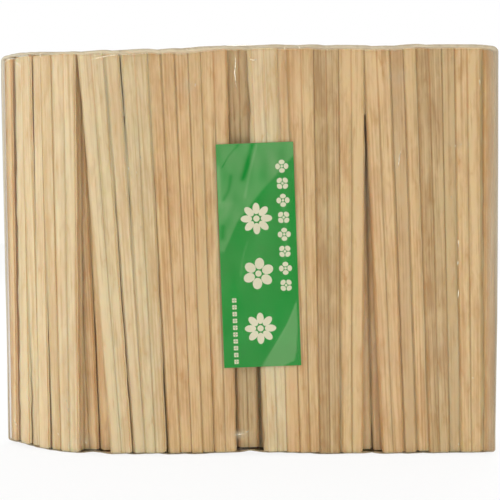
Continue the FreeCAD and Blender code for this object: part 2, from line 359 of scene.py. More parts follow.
def attribute(piece, name, kind, values, domain="POINT"):
    """Gives a piece one value, vector or colour for each of its points or faces."""
    made = piece.data.attributes.new(name, kind, domain)
    key = {"FLOAT": "value", "FLOAT_VECTOR": "vector", "FLOAT_COLOR": "color"}[kind]
    made.data.foreach_set(key, np.asarray(values, np.float32).ravel())


def solids_in(node):
    """The corner points of each separate solid of a CAD node."""
    work = bmesh.new()
    work.from_mesh(frame["nodes"][node].data)
    bmesh.ops.remove_doubles(work, verts=work.verts, dist=1e-6)
    unseen = set(work.verts)
    found = []
    while unseen:
        group = [unseen.pop()]
        for vert in group:
            for edge in vert.link_edges:
                other = edge.other_vert(vert)
                if other in unseen:
                    unseen.remove(other)
                    group.append(other)
        found.append(np.array(sorted(v.co[:] for v in group)))
    work.free()
    return sorted(found, key=lambda points: tuple(points.mean(0).round(6)))


# ---- the sticks


class PairForm:
    """Where a CAD pair lies and how large it is at its two ends."""

    def __init__(self, points):
        middle = points.mean(0)
        axis = np.linalg.svd(points - middle)[2][0]
        reach = (points - middle) @ axis
        ends = [points[reach < reach.min() + 0.001], points[reach > reach.max() - 0.001]]
        across = np.linalg.svd(ends[0] - ends[0].mean(0))[2][0]
        if np.ptp(ends[0] @ across) > np.ptp(ends[1] @ across):
            ends.reverse()
        self.start = ends[0].mean(0)
        run = ends[1].mean(0) - self.start
        self.length = np.linalg.norm(run)
        self.axis = run / self.length
        across = np.linalg.svd(ends[1] - ends[1].mean(0))[2][0]
        across -= self.axis * (across @ self.axis)
        across /= np.linalg.norm(across)
        self.across = across if across[0] + 0.1 * across[1] >= 0 else -across
        self.on_edge = abs(self.across[0]) < abs(self.across[1])
        self.depth = np.cross(self.axis, self.across)
        square = abs(self.depth[1]) < SQUARE_ON_EDGE
        if self.depth[0 if square else 1] < 0:
            self.depth = -self.depth
        self.widths = [np.ptp(end @ self.across) / 2 for end in ends]
        self.faces = [np.ptp(end @ self.depth) / 2 for end in ends]
        along = (points - self.start) @ self.axis
        between = along[(along > 0.001) & (along < self.length - 0.001)]
        self.joined_from = between.mean()


def half_section(width, face, fringe, sink, on_edge, chance):
    """Points round the right half of a pair, from its front groove to its back groove, each with
    how much painted shade darkens the wood there: most in the kerf and on the torn fibres in the
    gaps, less at the corners."""
    lip = face - GROOVE_DEPTH * (1 - KERF_HALF / GROOVE_HALF)
    side, flat = width - CORNER_CHAMFER, face - CORNER_CHAMFER
    middle = CORNER_CHAMFER / 2 - CHAMFER_SWELL
    reach = fringe * chance.uniform(0.5, 1.0)
    groove = [(KERF_HALF, -lip, 0.9), (GROOVE_HALF, -face, 0.0), ((GROOVE_HALF + side) / 2, -face, 0.0)]
    first, last = (0.6, 0.1) if on_edge else (0.1, 0.6)
    corner = [(side, -face, first), (width - middle, -(face - middle), 0.3), (width, -flat, last)]
    if on_edge:
        torn = [
            (side - FRINGE_THICKNESS, -face, 0.7),
            (side - sink * FRINGE_THICKNESS, -(face + reach), 1.0),
        ]
        front = groove + torn + corner
    else:
        torn = [
            (width + reach, -(flat - sink * FRINGE_THICKNESS), 1.0),
            (width, -(flat - FRINGE_THICKNESS), 0.7),
        ]
        front = groove + corner + torn
    points = front + [(width, 0.0, 0.2)] + [(x, -y, shade_brown) for x, y, shade_brown in reversed(front)]
    return [
        (x + (chance.uniform(-EDGE_WOBBLE, EDGE_WOBBLE) if x >= side else 0.0), y, shade_brown)
        for x, y, shade_brown in points
    ]


def pair_mesh(form, sink, stretches, chance):
    """Vertices, faces, each vertex's (across, depth, along) place and its share of painted shade, and
    which faces are cut ends."""
    steps = [0.0, END_STEP]
    steps += list(np.linspace(0, form.length, STATIONS)[1:-1])
    steps += [form.joined_from, form.length - END_STEP, form.length]
    steps.sort()
    joint = steps.index(form.joined_from)
    bows = [(chance.uniform(-BOW, BOW), chance.uniform(-BOW, BOW)) for _ in range(2)]

    places, shade_browns, faces = [], [], []
    for step in steps:
        share = step / form.length
        width = form.widths[0] + (form.widths[1] - form.widths[0]) * share
        face = form.faces[0] + (form.faces[1] - form.faces[0]) * share
        fringe = FRINGE
        if step in (steps[0], steps[-1]):
            fringe = 0.0
            width, face = width - END_SOFTENING, face - END_SOFTENING
        sway = [
            bows[0][i] * math.sin(math.pi * share) + bows[1][i] * math.sin(2 * math.pi * share)
            for i in range(2)
        ]
        for side, stretch in zip((1, -1), stretches):
            for x, y, shade_brown in half_section(width, face, fringe * stretch, sink, form.on_edge, chance):
                places.append((side * x + sway[0], y + sway[1], step))
                shade_browns.append(shade_brown)
    count = len(places) // len(steps) // 2

    def corner(station, half, i):
        return (station * 2 + half) * count + i

    def strip(station, one, other):
        """The face between two lines along the pair, from this station to the next."""
        near = [corner(station, *line) for line in (one, other)]
        far = [corner(station + 1, *line) for line in (one, other)]
        return near[0], far[0], far[1], near[1]

    for station in range(len(steps) - 1):
        for half in (0, 1):
            for i in range(count - 1):
                faces.append(strip(station, (half, i), (half, i + 1)))
            if station < joint:
                faces.append(strip(station, (half, 0), (half, count - 1)))
        if station >= joint:
            for i in (0, count - 1):
                faces.append(strip(station, (0, i), (1, i)))
    faces.append(tuple(corner(joint, half, i) for half, i in
                       ((0, 0), (1, 0), (1, count - 1), (0, count - 1))))

    sawn = [0.0] * len(faces)
    for half in (0, 1):
        faces.append(tuple(corner(0, half, i) for i in range(count)))
    last = len(steps) - 1
    head = [corner(last, 0, i) for i in range(count)]
    head += [corner(last, 1, i) for i in reversed(range(count))]
    faces.append(tuple(head))
    sawn += [1.0] * (len(faces) - len(sawn))

    places = np.array(places)
    verts = form.start + places[:, :1] * form.across + places[:, 1:2] * form.depth
    verts = verts + places[:, 2:] * form.axis
    return verts, faces, places, shade_browns, sawn


def place_in_log(places, chance):
    """Each point's place in the log that the slip was cut from, whose pith runs up the z axis."""
    turn = chance.uniform(0, 2 * math.pi)
    away = chance.uniform(NEAREST_TO_PITH, FURTHEST_FROM_PITH)
    slopes = [chance.uniform(-STEEPEST_GRAIN, STEEPEST_GRAIN) for _ in range(2)]
    x, y, along = places[:, 0], places[:, 1], places[:, 2]
    east = x * math.cos(turn) - y * math.sin(turn) + along * slopes[0] + away
    north = x * math.sin(turn) + y * math.cos(turn) + along * slopes[1]
    return np.stack([east, north, along + chance.uniform(0, 3)], 1)


def tones_of(node, chance):
    """How deep and how rosy the left and the right stick of a pair are."""
    if node in CHOSEN_TONES:
        return [TONES[word] for word in CHOSEN_TONES[node]]
    depth, warmth = chance.gauss(0.0, 0.9), chance.gauss(0.0, 0.9)
    return [(depth + chance.gauss(0, 0.4), warmth + chance.gauss(0, 0.5)) for _ in range(2)]


def dress_wood(node, slot, material, chance):
    """Replaces a node's plain pairs with sawn ones."""
    verts, faces, grain, tones, shade_browned, ends = [], [], [], [], [], []
    stretches = OPEN_EDGES.get(node, (1.0, 1.0))
    for points in solids_in(node):
        form = PairForm(points)
        more, more_faces, places, shade_browns, sawn = pair_mesh(form, FRINGE_SINK[slot], stretches, chance)
        first = sum(len(v) for v in verts)
        verts.append(more)
        faces += [tuple(first + i for i in face) for face in more_faces]
        grain.append(place_in_log(places, chance))
        left, right = tones_of(node, chance)
        chance.random()  # not used, but without it every later draw would change
        tones.append([(*(right if place[0] > 0 else left), 0.0, 1.0) for place in places])
        shade_browned += shade_browns
        ends += sawn
    piece = new_piece(
        f"{node}_sticks", np.vstack(verts), faces, material, math.radians(35)
    )
    attribute(piece, "grain", "FLOAT_VECTOR", np.vstack(grain))
    attribute(piece, "tone", "FLOAT_COLOR", np.vstack(tones))
    attribute(piece, "shade_brown", "FLOAT", shade_browned)
    attribute(piece, "cut_end", "FLOAT", ends, "FACE")
    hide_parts(node)
    return piece


def wood_material(slot, pale, deep, rosy, olive, amber, shade_brown):
    """Sawn cypress: year rings seen along the grain, and soft clouds of other casts, with painted
    shade in a darker brown at the pair's edges, kerf and gaps.
    """
    n = Nodes(slot)
    grain = n.attribute("grain", "Vector")
    cut_end = n.attribute("cut_end")
    tone = n.node("ShaderNodeSeparateColor")
    n.put(n.attribute("tone", "Color"), tone.inputs[0])
    depth, warmth = tone.outputs[0], tone.outputs[1]

    def centred(value, gain):
        return n.math("MULTIPLY", n.math("SUBTRACT", value, 0.5), gain)

    fibres = n.noise(grain, (2600.0, 2600.0, 30.0), 3.0, 0.6)
    clouds = n.noise(grain, (130.0, 130.0, 34.0), 2.0, 0.5)
    streaks = n.noise(grain, (800.0, 800.0, 9.0), 2.0, 0.55)
    warp = n.noise(grain, (70.0, 70.0, 7.0), 2.0, 0.5)
    blots = n.noise(grain, (300.0, 300.0, 75.0), 3.0, 0.6, 0.5)

    radius = n.vector("LENGTH", n.vector("MULTIPLY", grain, (1.0, 1.0, 0.0)))
    year = n.math("FRACT", n.math("ADD", n.math("DIVIDE", radius, RING_SPACING),
                                  n.math("MULTIPLY", warp, 3.0)))
    late = n.math("SUBTRACT", n.span(year, 0.35, 0.85), n.span(year, 0.86, 1.0))
    late = n.math("MULTIPLY", late, n.span(streaks, 0.3, 0.7, 0.35, 1.0))

    level = n.math("MULTIPLY_ADD", depth, 0.17, 0.3)
    level = n.math("ADD", level, n.math("MULTIPLY", late, 0.36))
    level = n.math("ADD", level, centred(streaks, 1.5))
    level = n.math("ADD", level, centred(clouds, 1.3))
    level = n.math("ADD", level, centred(blots, 1.5))
    level = n.math("ADD", level, centred(fibres, 0.8))
    level = n.math("MULTIPLY_ADD", cut_end, 0.35, level, clamp=True)
    colour = n.mix(level, srgb(*pale), srgb(*deep))
    hue = n.math("MULTIPLY", warmth, 0.12)
    hue = n.math("ADD", hue, centred(clouds, 0.8))
    hue = n.math("ADD", hue, centred(warp, 0.6))
    colour = n.mix(n.math("MULTIPLY", hue, 1.0, clamp=True), colour, srgb(*rosy))
    colour = n.mix(n.math("MULTIPLY", hue, -0.8, clamp=True), colour, srgb(*olive))
    colour = n.mix(n.span(blots, 0.6, 0.8, 0.0, 0.6), colour, srgb(*amber))
    # Painted shade: a darker brown where the edges, the kerf and the torn fibres meet the gaps
    colour = n.mix(n.math("MULTIPLY", n.attribute("shade_brown"), 0.65), colour, srgb(*shade_brown))

    shader = n.node("ShaderNodeBsdfPrincipled")
    n.put(colour, shader.inputs["Base Color"])
    n.put(n.span(fibres, 0.3, 0.7, 0.55, 0.72), shader.inputs["Roughness"])
    shader.inputs["Specular IOR Level"].default_value = 0.2
    shader.inputs["Subsurface Weight"].default_value = 0.7
    shader.inputs["Subsurface Radius"].default_value = (1.0, 0.55, 0.28)
    shader.inputs["Subsurface Scale"].default_value = 0.004
    n.put(n.bump(fibres, 0.5, 0.00006), shader.inputs["Normal"])
    return n.finish(shader.outputs[0])


# ---- the film


def film_outline():
    """The inside of the CAD film at mid height: its points in order."""
    low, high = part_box("film")
    work = bmesh.new()
    work.from_mesh(frame["nodes"]["film"].data)
    bmesh.ops.remove_doubles(work, verts=work.verts, dist=1e-6)
    bmesh.ops.bisect_plane(
        work,
        geom=work.verts[:] + work.edges[:] + work.faces[:],
        plane_co=(low + high) / 2,
        plane_no=(0, 0, 1),
        clear_inner=True,
        clear_outer=True,
    )
    loops = []
    unseen = set(work.verts)
    while unseen:
        loop = [min(unseen, key=lambda vert: vert.co[:])]
        unseen.remove(loop[0])
        while True:
            onward = [
                e.other_vert(loop[-1])
                for e in loop[-1].link_edges
                if e.other_vert(loop[-1]) in unseen
            ]
            if not onward:
                break
            loop.append(onward[0])
            unseen.remove(onward[0])
        loops.append(np.array([v.co[:2] for v in loop]))
    work.free()

    def area(loop):
        x, y = loop[:, 0], loop[:, 1]
        return (x * np.roll(y, -1) - y * np.roll(x, -1)).sum() / 2

    inner = min(loops, key=lambda loop: abs(area(loop)))
    return inner if area(inner) > 0 else inner[::-1]


def resample(points, count):
    """This many even steps along a line of points."""
    runs = np.linalg.norm(np.diff(points, axis=0), axis=1)
    reach = np.concatenate([[0], np.cumsum(runs)])
    wanted = np.linspace(0, reach[-1], count + 1)
    return np.stack([np.interp(wanted, reach, points[:, i]) for i in range(2)], 1)


def film_sides():
    """The outline as four lines: front, right end, back and left end, counter-clockwise."""
    loop = film_outline()
    away = np.array([-math.cos(FILM_BEND), math.sin(FILM_BEND)])
    front = np.array([-math.sin(FILM_BEND), -math.cos(FILM_BEND)])
    corners = [
        np.argmax(loop @ (away + front)),
        np.argmax(loop @ np.array([1.0, -1.0])),
        np.argmax(loop @ np.array([1.0, 1.0])),
        np.argmax(loop @ (away - front)),
    ]
    sides = []
    for first, last in zip(corners, corners[1:] + corners[:1]):
        if last <= first:
            last += len(loop)
        sides.append(np.take(loop, range(first, last + 1), axis=0, mode="wrap"))
    return sides


class Ends:
    """The ends of the sticks at the top or the bottom, with the film drawn over them."""

    def __init__(self, pieces, middle, side):
        points = np.vstack([[v.co[:] for v in piece.data.vertices] for piece in pieces])
        self.side = side
        self.points = points[(points[:, 2] - middle) * side > 0.1]

    def film_at(self, x, y):
        """The film's height over this place in plan."""
        away = (self.points[:, 0] - x) ** 2 + (self.points[:, 1] - y) ** 2
        reach = self.points[:, 2] * self.side - away / (2 * FILM_TENSION)
        room = np.interp(x, *zip(*FILM_OVER_STICKS)) if self.side > 0 else FILM_UNDER_STICKS
        return self.side * (reach.max() + room)


def swell(heights, outward):
    """How far the film stands out from the outline, for each place's height and direction."""
    left, right = (np.clip(side * outward[:, 0], 0, 1) ** 4 for side in (-1, 1))
    out = left * np.interp(heights, *zip(*LEFT_SWELL))
    return out + right * np.interp(heights, *zip(*RIGHT_SWELL))


def ripple(point, low, high):
    """The wrinkles of the film at a point: long folds, small ones, and gathers at the rims."""
    x, y, z = point
    folds = noise.noise(Vector((x * 45, y * 45, z * 14)))
    small = noise.noise(Vector((x * 170, y * 170, z * 45 + 7)))
    gathers = noise.noise(Vector((x * 330, y * 330, z * 18 + 3)))
    from_rim = min(z - low, high - z)
    return 0.00022 * (folds + 0.6) + 0.00005 * small + 0.00022 * gathers * math.exp(-from_rim / 0.01)


def haze_of(point, outward, low, end):
    """How milky the film is at a point."""
    x, y, z = point
    cloud = noise.noise(Vector((x * 60, y * 60, z * 26)))
    streak = noise.noise(Vector((x * 420, y * 420, z * 12)))
    haze = 0.002 + 0.05 * max(0.0, cloud)
    haze += 0.3 * (1 - smooth(z - low, 0.0004, 0.0014))
    haze += end * (0.78 + 0.35 * streak)
    if outward[1] < -0.3:
        for across, height, half_width, half_height, strength in SMUDGES:
            away = ((x - across) / half_width) ** 2 + ((z - height) / half_height) ** 2
            haze += strength * math.exp(-away) * (1 + streak)
    return min(max(haze, 0.0), 0.9)


def end_share(point, outward, right):
    """How far a place on the film's wall belongs to the ends of the pack."""
    strip = 0.55 * smooth(point[0], right - RIGHT_STRIP, right - RIGHT_STRIP / 2)
    return max(smooth(-outward[0], 0.68, 0.9), smooth(outward[0], 0.25, 0.85), strip)


def smooth(value, low, high):
    share = min(max((value - low) / (high - low), 0.0), 1.0)
    return share * share * (3 - 2 * share)


def build_film(material, stick_pieces):
    """The film as one closed sheet, drawn tight over the ends of the sticks."""
    low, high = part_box("film")
    middle = (low.z + high.z) / 2
    tops, bottoms = Ends(stick_pieces, middle, 1), Ends(stick_pieces, middle, -1)
    sides = film_sides()
    length = np.linalg.norm(np.diff(sides[0], axis=0), axis=1).sum()
    breadth = np.linalg.norm(np.diff(sides[1], axis=0), axis=1).sum()
    columns, rows = round(length / FILM_STEP), round(breadth / FILM_STEP)
    counts = (columns, rows, columns, rows)
    ring = np.vstack([resample(side, count)[:-1] for side, count in zip(sides, counts)])
    ahead = np.roll(ring, -1, 0) - np.roll(ring, 1, 0)
    outward = np.stack([ahead[:, 1], -ahead[:, 0]], 1)
    outward /= np.linalg.norm(outward, axis=1)[:, None]
    roofs = np.array([tops.film_at(x, y) for x, y in ring])
    floors = np.array([max(bottoms.film_at(x, y), low.z) for x, y in ring])

    rims = FILM_RIM + (FILM_END_RIM - FILM_RIM) * np.clip(np.abs(outward[:, 0]), 0, 1) ** 4
    heights = roofs - floors
    levels = round((high.z - low.z) / FILM_STEP)
    turns = np.linspace(0, math.pi / 2, FILM_RIM_STEPS + 1)
    profile = [(FILM_RIM * (1 - math.sin(t)), FILM_RIM * (1 - math.cos(t))) for t in turns[:-1]]
    profile = [(np.full(len(ring), inset), np.full(len(ring), rise)) for inset, rise in profile]
    shares = list(np.linspace(0, 1, levels))
    shares = shares[:-5] + list(np.linspace(shares[-5], 1, BAND_STEPS))
    for share in shares:
        profile.append((np.zeros(len(ring)), FILM_RIM + share * (heights - FILM_RIM - rims)))
    for turn in reversed(turns[:-1]):
        profile.append((rims * (1 - math.sin(turn)), heights - rims * (1 - math.cos(turn))))

    verts, hazes, bands, end_shades = [], [], [], []
    for inset, rise in profile:
        z = floors + rise
        out = FILM_LIFT - inset + swell(z, outward)
        for i, (point, away) in enumerate(zip(ring, outward)):
            place = np.array([*(point + away * out[i]), z[i]])
            wrinkle = ripple(place, floors[i], roofs[i])
            place[:2] += away * wrinkle
            verts.append(tuple(place))
            end = end_share(point, away, high.x)
            hazes.append(haze_of(place, away, floors[i], end))
            bands.append((roofs[i] - z[i]) / np.interp(point[0], *zip(*MILKY_BAND)))
            # Painted shade on the film's milky ends: in full at the right end, at 0.3 on the left
            end_shades.append(end * (1.0 if point[0] > 0 else 0.3))
    around = len(ring)
    faces = []
    for level in range(len(profile) - 1):
        for i in range(around):
            j = (i + 1) % around
            faces.append((level * around + i, level * around + j,
                          (level + 1) * around + j, (level + 1) * around + i))

    def cap(level, ends, haze):
        """A grid across one end, between the front and the back line of that level."""
        start = level * around
        grid = np.zeros((columns + 1, rows + 1), int)
        for i in range(columns + 1):
            grid[i, 0] = start + i
            grid[i, rows] = start + columns + rows + (columns - i)
        for j in range(rows + 1):
            grid[columns, j] = start + columns + j
            grid[0, j] = start + (2 * columns + rows + (rows - j)) % around
        for i in range(1, columns):
            front, back = np.array(verts[grid[i, 0]]), np.array(verts[grid[i, rows]])
            for j in range(1, rows):
                grid[i, j] = len(verts)
                x, y, _ = front + (back - front) * j / rows
                pucker = noise.noise(Vector((x * 120, y * 160, 5.0)))
                z = ends.film_at(x, y) + ends.side * 0.0002 * (pucker + 0.4)
                verts.append((x, y, max(z, low.z)))
                hazes.append(min(max(haze + 0.25 * pucker, 0.0), 0.9))
                bands.append(2.0)
                end_shades.append(0.0)
        for i in range(columns):
            for j in range(rows):
                corners = (grid[i, j], grid[i + 1, j], grid[i + 1, j + 1], grid[i, j + 1])
                faces.append(tuple(int(c) for c in corners))

    cap(0, bottoms, 0.3)
    cap(len(profile) - 1, tops, 0.45)
    piece = new_piece("clear_film_skin", verts, faces, material, math.radians(180))
    attribute(piece, "haze", "FLOAT", hazes)
    attribute(piece, "top_band", "FLOAT", bands)
    attribute(piece, "end_shade", "FLOAT", end_shades)
    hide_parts("film")
    return piece


def surface_of(piece):
    """A piece's faces, to be met by rays."""
    mesh = piece.data
    return BVHTree.FromPolygons([v.co[:] for v in mesh.vertices], [p.vertices[:] for p in mesh.polygons])


def build_lap(material, skin):
    """Where the film's two edges are sealed to each other down the back."""
    points = np.array([v.co[:] for v in frame["nodes"]["film"].data.vertices])
    straight = points[points[:, 0] > 0]
    lap = straight[straight[:, 1] > straight[:, 1].max() - 1e-5]
    left, right = lap[:, 0].min(), lap[:, 0].max()
    bottom, top = lap[:, 2].min() + FILM_RIM, lap[:, 2].max() - FILM_RIM
    surface = surface_of(skin)
    columns, rows = LAP_COLUMNS, round((top - bottom) / FILM_STEP)
    verts, faces, hazes = [], [], []
    for j in range(rows + 1):
        z = bottom + (top - bottom) * j / rows
        for i in range(columns + 1):
            share = i / columns
            x = left + (right - left) * share + 0.0004 * noise.noise(Vector((0, share, z * 60)))
            meet = surface.ray_cast(Vector((x, 1.0, z)), Vector((0, -1, 0)))[0]
            seal = math.exp(-((share - 0.3) / 0.05) ** 2) + math.exp(-((share - 0.7) / 0.05) ** 2)
            lift = 0.00012 + 0.00012 * seal + 0.00025 * max(0.0, share - 0.85) / 0.15
            verts.append((x, meet.y + lift, z))
            hazes.append(0.14 + 0.3 * seal)
    wide = columns + 1
    for j in range(rows):
        for i in range(columns):
            a = j * wide + i
            faces.append((a + 1, a, a + wide, a + wide + 1))
    piece = new_piece("clear_film_lap", verts, faces, material, math.radians(180))
    attribute(piece, "haze", "FLOAT", hazes)
    attribute(piece, "top_band", "FLOAT", [2.0] * len(verts))


def build_creases(material, skin, chance):
    """Sharp little folds that stand up from the film."""
    surface = surface_of(skin)
    low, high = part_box("film")
    creases = [("front", path) for path in FRONT_CREASES]
    for i in range(MORE_CREASES):
        side = ("front", "back", "back", "right", "left", "top")[i % 6]
        span = (low.y, high.y) if side in ("right", "left") else (low.x, high.x)
        across = chance.uniform(*span)
        if side == "top":
            along = chance.uniform(low.y, high.y)
        elif chance.random() < 0.6:
            along = chance.choice((low.z + 0.006, high.z - 0.006)) + chance.uniform(-0.003, 0.003)
        else:
            along = chance.uniform(low.z + 0.02, high.z - 0.02)
        length = chance.uniform(0.0015, 0.005) * (0.6 if side == "front" else 1.4)
        turn = chance.gauss(math.pi / 2, 0.5)
        bend = chance.uniform(-0.5, 0.5)
        path = [(across, along)]
        for _ in range(2):
            x, z = path[-1]
            path.append((x + length / 2 * math.cos(turn), z + length / 2 * math.sin(turn)))
            turn += bend
        creases.append((side, path))

    looks = {
        "front": (Vector((0, 1, 0)), lambda a, b: Vector((a, -1, b))),
        "back": (Vector((0, -1, 0)), lambda a, b: Vector((a, 1, b))),
        "right": (Vector((-1, 0, 0)), lambda a, b: Vector((1, a, b))),
        "left": (Vector((1, 0, 0)), lambda a, b: Vector((-1, a, b))),
        "top": (Vector((0, 0, -1)), lambda a, b: Vector((a, b, 1))),
    }
    verts, faces = [], []
    for side, path in creases:
        look, start = looks[side]
        path = np.array(path)
        length = np.linalg.norm(np.diff(path, axis=0), axis=1).sum()
        line = resample(path, max(3, round(length / CREASE_STEP)))
        meets = [surface.ray_cast(start(a, b), look)[:2] for a, b in line]
        if any(point is None for point, _ in meets):
            continue
        first = len(verts)
        for i, (point, normal) in enumerate(meets):
            normal = normal if normal.dot(look) < 0 else -normal
            after, before = meets[min(i + 1, len(meets) - 1)][0], meets[max(i - 1, 0)][0]
            beside = (after - before).cross(normal).normalized()
            taper = math.sin(math.pi * (i + 0.35) / (len(meets) - 0.3))
            for reach, lift in ((-1, 0.1), (-0.35, 0.8), (0, 1.0), (0.35, 0.8), (1, 0.1)):
                verts.append(point + beside * reach * CREASE_HALF * taper
                             + normal * (0.00002 + lift * CREASE_HEIGHT * taper))
        for i in range(len(meets) - 1):
            for j in range(4):
                a = first + i * 5 + j
                faces.append((a, a + 1, a + 6, a + 5))
    new_piece("film_glint_creases", verts, faces, material, math.radians(180))


def film_material():
    """Clear film, milky where it is creased or drawn together, with a soft gloss."""
    n = Nodes("clear_film")
    place = n.node("ShaderNodeTexCoord").outputs["Object"]
    facing = n.node("ShaderNodeLayerWeight")
    facing.inputs["Blend"].default_value = 0.5
    edge_on = n.span(facing.outputs["Facing"], 0.25, 0.8)

    band = n.attribute("top_band")
    ragged = n.noise(place, (160.0, 160.0, 60.0), 3.0, 0.6)
    torn = n.math("MULTIPLY_ADD", n.math("SUBTRACT", ragged, 0.5), 0.8, band)
    milky = n.math("MULTIPLY", n.span(torn, 0.45, 1.15, 1.0, 0.0), n.span(ragged, 0.3, 0.7, 0.5, 0.75))
    ridge = n.span(band, 0.05, 0.2, 1.0, 0.0)

    veil = n.math("ADD", n.attribute("haze"), milky)
    # Milkier where the film is seen edge-on: partly its haze seen at a slant, partly painted sheen for
    # its reflection at grazing angles
    veil = n.math("MULTIPLY_ADD", edge_on, 0.35, veil, clamp=True)
    veil = n.math("MINIMUM", veil, 0.88)
    level = n.node("ShaderNodeSeparateXYZ")
    n.put(n.node("ShaderNodeNewGeometry").outputs["Normal"], level.inputs[0])
    lying = n.span(n.math("ABSOLUTE", level.outputs[2]), 0.3, 0.9)
    tint = n.mix(lying, srgb(224, 215, 188), srgb(214, 204, 176))
    # Painted shade: a grey line along the crest of the film where it turns over the top
    tint = n.mix(ridge, tint, srgb(198, 192, 178))
    # Painted shade: the milky ends are tinted a darker grey-brown
    tint = n.mix(n.attribute("end_shade"), tint, srgb(172, 161, 140))

    clear = n.node("ShaderNodeBsdfTransparent")
    white = n.node("ShaderNodeBsdfDiffuse")
    glow = n.node("ShaderNodeBsdfTranslucent")
    for lit in (white, glow):
        n.put(tint, lit.inputs["Color"])
    milk = n.blend(n.math("MULTIPLY_ADD", lying, 0.25, 0.1), white.outputs[0], glow.outputs[0])
    body = n.blend(veil, clear.outputs[0], milk)
    gloss = n.node("ShaderNodeBsdfGlossy")
    gloss.inputs["Roughness"].default_value = 0.15
    gloss.inputs["Color"].default_value = srgb(225, 222, 214)
    fresnel = n.node("ShaderNodeFresnel")
    fresnel.inputs["IOR"].default_value = 1.16
    crinkle = n.noise(place, (240.0, 240.0, 90.0), 2.0, 0.5)
    bump = n.bump(crinkle, 0.35, 0.0004)
    n.put(bump, gloss.inputs["Normal"])
    n.put(bump, fresnel.inputs["Normal"])
    return n.finish(n.blend(fresnel.outputs[0], body, gloss.outputs[0]))


def crease_glint_material():
    """The film where it is folded sharply: whitish, and brighter along its ridge. The whitish colour
    is partly painted highlight, standing in for the glints of the folds.
    """
    n = Nodes("film_glint_crease")
    place = n.node("ShaderNodeTexCoord").outputs["Object"]
    break_up = n.noise(place, (900.0, 900.0, 500.0), 2.0, 0.5)
    shader = n.node("ShaderNodeBsdfPrincipled")
    shader.inputs["Base Color"].default_value = srgb(250, 239, 212)
    shader.inputs["Roughness"].default_value = 0.2
    shader.inputs["Specular IOR Level"].default_value = 0.9
    n.put(n.span(break_up, 0.35, 0.6, 0.4, 0.95), shader.inputs["Alpha"])
    return n.finish(shader.outputs[0])


# ---- the label


def label_frame():
    """The label's middle, and its directions across, up and towards the viewer."""
    points = np.array([v.co[:] for v in frame["nodes"]["label"].data.vertices])
    middle = (points.min(0) + points.max(0)) / 2
    lowest = points[points[:, 2].argmin()]
    right = points[points[:, 0].argmax()]
    across = right - lowest
    across[1] = 0
    width = np.linalg.norm(across)
    across /= width
    up = np.array([-across[2], 0.0, across[0]])
    height = np.ptp((points - middle) @ up)
    return middle, across, up, width, height, np.ptp(points[:, 1])


def off_line(x, y, line):
    """How far a place is from a line of points."""
    place, line = np.array([x, y]), np.array(line)
    starts, runs = line[:-1], np.diff(line, axis=0)
    shares = ((place - starts) * runs).sum(1) / (runs ** 2).sum(1)
    nearest = starts + runs * np.clip(shares, 0, 1)[:, None]
    return np.linalg.norm(nearest - place, axis=1).min()


def film_cloud_and_sheen(right, down):
    """How cloudy the film looks over the label, this far right and down from its corner: its haze and
    a painted sheen, both painted into the paper's colour.
    """
    wave = noise.noise(Vector((right * 220, down * 90, 2.0)))
    beyond = np.interp(right, *zip(*CLINGS_BELOW)) - down
    share = (CLOUD_SHARE + 0.06 * wave) * smooth(beyond, -0.0004, 0.0022) + 0.025 + 0.02 * wave
    sides = [[(d, r) for r, d in line] for line in (WEDGE_LEFT, WEDGE_RIGHT)]
    left, side = (np.interp(down, *zip(*line)) for line in sides)
    inside = smooth(right - left, -0.0003, 0.0003) * smooth(side - right, -0.0003, 0.0005)
    share += WEDGE_SHARE * inside * (down > WEDGE_LEFT[0][1])
    for half_width, change, line in LABEL_STREAKS:
        share += 0.75 * change * math.exp(-((off_line(right, down, line) / half_width) ** 2))
    return min(max(share, 0.0), 0.8)


